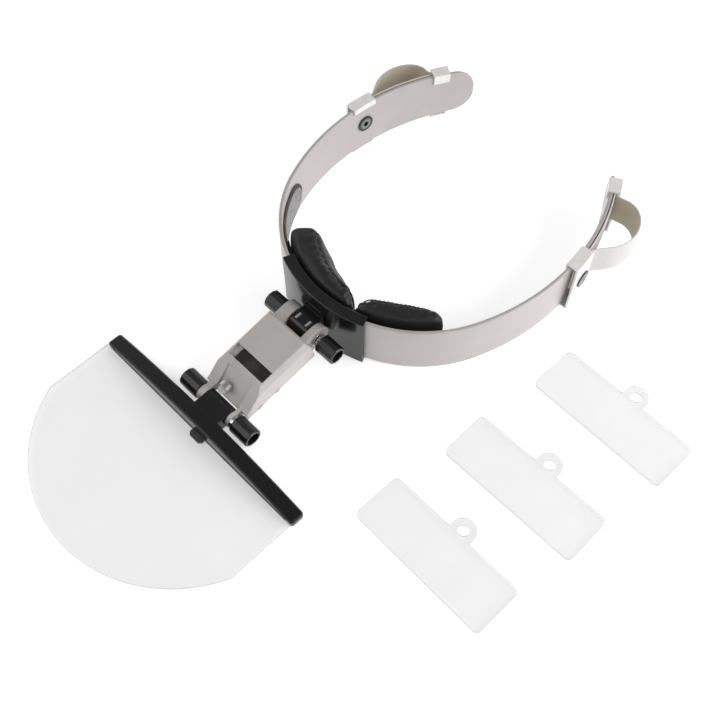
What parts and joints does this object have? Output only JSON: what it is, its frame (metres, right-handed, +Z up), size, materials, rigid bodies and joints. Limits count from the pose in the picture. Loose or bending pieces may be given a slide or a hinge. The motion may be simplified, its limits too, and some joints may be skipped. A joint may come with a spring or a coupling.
{
  "type": "head visor magnifier",
  "caption": "Head-worn magnifier: open plastic headband with forehead pad, tilting lamp arm with knobs, and a hinged bar holding a wide lens; spare lenses lie beside it.",
  "frame": {"origin": "under the middle of the headband's front outer face, on the plane the magnifier stands on", "axes": "+Z up; -Y the way the wearer looks, towards the visor; +X the wearer's left"},
  "size_m": [0.3217, 0.4131, 0.0451],
  "materials": {
    "band_plastic": "satin",
    "lamp_plastic": "satin",
    "black_plastic": "semi-gloss",
    "bright_metal": "polished",
    "hook_black": "matt",
    "hook_grey": "matt",
    "pad_leather": "soft sheen",
    "clear_plastic": "cloudy",
    "rivet_metal": "dull",
    "strap_fabric": "woven",
    "cell_jacket": "satin",
    "board": "matt",
    "led_glass": "clear",
    "lens_glass": "clear"
  },
  "bodies": {
    "headband": {"headband": "band_plastic", "front_clip": "black_plastic", "boss_inserts": "bright_metal", "hook_backing": "hook_black", "hook_face": "hook_grey", "pad_web": "pad_leather", "pad_left": "pad_leather", "pad_right": "pad_leather", "guide_sleeve_left": "clear_plastic", "guide_sleeve_right": "clear_plastic", "rivet_left": "rivet_metal", "rivet_right": "rivet_metal", "strap_left": "strap_fabric", "strap_right": "strap_fabric", "tip_clip_left": "clear_plastic", "tip_clip_right": "clear_plastic"},
    "arm": {"housing": "lamp_plastic", "cells": "cell_jacket", "rear_contacts": "bright_metal", "front_contact": "bright_metal", "lamp_board": "board", "switch_body": "black_plastic", "led": "led_glass", "led_ring": "bright_metal", "band_spring": "bright_metal", "visor_washers": "bright_metal"},
    "battery_cover": {"battery_cover": "lamp_plastic"},
    "switch_slider": {"switch_slider": "black_plastic"},
    "band_knob_right": {"band_knob_right": "black_plastic", "band_bolt": "bright_metal"},
    "band_knob_left": {"band_knob_left": "black_plastic"},
    "visor": {"lens_bar": "black_plastic", "bar_plate": "black_plastic", "bar_screws": "bright_metal"},
    "visor_knob_right": {"visor_knob_right": "black_plastic", "visor_bolt": "bright_metal"},
    "visor_knob_left": {"visor_knob_left": "black_plastic"},
    "main_lens": {"main_lens": "lens_glass"},
    "lens_catch": {"lens_catch": "black_plastic"},
    "spare_lens_1": {"spare_lens_1": "lens_glass"},
    "spare_lens_2": {"spare_lens_2": "lens_glass"},
    "spare_lens_3": {"spare_lens_3": "lens_glass"}
  },
  "joints": [
    {"name": "arm_tilt", "type": "hinge", "parent": "headband", "child": "arm", "pos_m": [0, -0.0122, 0.0203], "axis": [1, 0, 0], "range_deg": [-70, 35]},
    {"name": "visor_tilt", "type": "hinge", "parent": "arm", "child": "visor", "pos_m": [0, -0.082, 0.007], "axis": [1, 0, 0], "range_deg": [-70, 85]},
    {"name": "band_bolt_turn", "type": "hinge", "parent": "arm", "child": "band_knob_right", "pos_m": [0, -0.0122, 0.0203], "axis": [1, 0, 0], "range_deg": [0, 360]},
    {"name": "band_knob_turn", "type": "hinge", "parent": "arm", "child": "band_knob_left", "pos_m": [0, -0.0122, 0.0203], "axis": [1, 0, 0], "range_deg": [0, 360]},
    {"name": "visor_bolt_turn", "type": "hinge", "parent": "arm", "child": "visor_knob_right", "pos_m": [0, -0.082, 0.007], "axis": [1, 0, 0], "range_deg": [0, 360]},
    {"name": "visor_knob_turn", "type": "hinge", "parent": "arm", "child": "visor_knob_left", "pos_m": [0, -0.082, 0.007], "axis": [1, 0, 0], "range_deg": [0, 360]},
    {"name": "switch_slide", "type": "slide", "parent": "arm", "child": "switch_slider", "axis": [-1, 0, 0], "range_m": [0, 0.0048]},
    {"name": "battery_cover_lift", "type": "slide", "parent": "arm", "child": "battery_cover", "axis": [0, 0.1872, -0.9823], "range_m": [0, 0.012]},
    {"name": "lens_slide", "type": "slide", "parent": "visor", "child": "main_lens", "axis": [0, -1, 0], "range_m": [0, 0.01]},
    {"name": "catch_press", "type": "slide", "parent": "visor", "child": "lens_catch", "axis": [0, -1, 0], "range_m": [0, 0.002]},
    {"name": "spare_lens_1_lift", "type": "slide", "parent": "headband", "child": "spare_lens_1", "axis": [0, 0, 1], "range_m": [0, 0.05]},
    {"name": "spare_lens_2_lift", "type": "slide", "parent": "headband", "child": "spare_lens_2", "axis": [0, 0, 1], "range_m": [0, 0.05]},
    {"name": "spare_lens_3_lift", "type": "slide", "parent": "headband", "child": "spare_lens_3", "axis": [0, 0, 1], "range_m": [0, 0.05]}
  ]
}
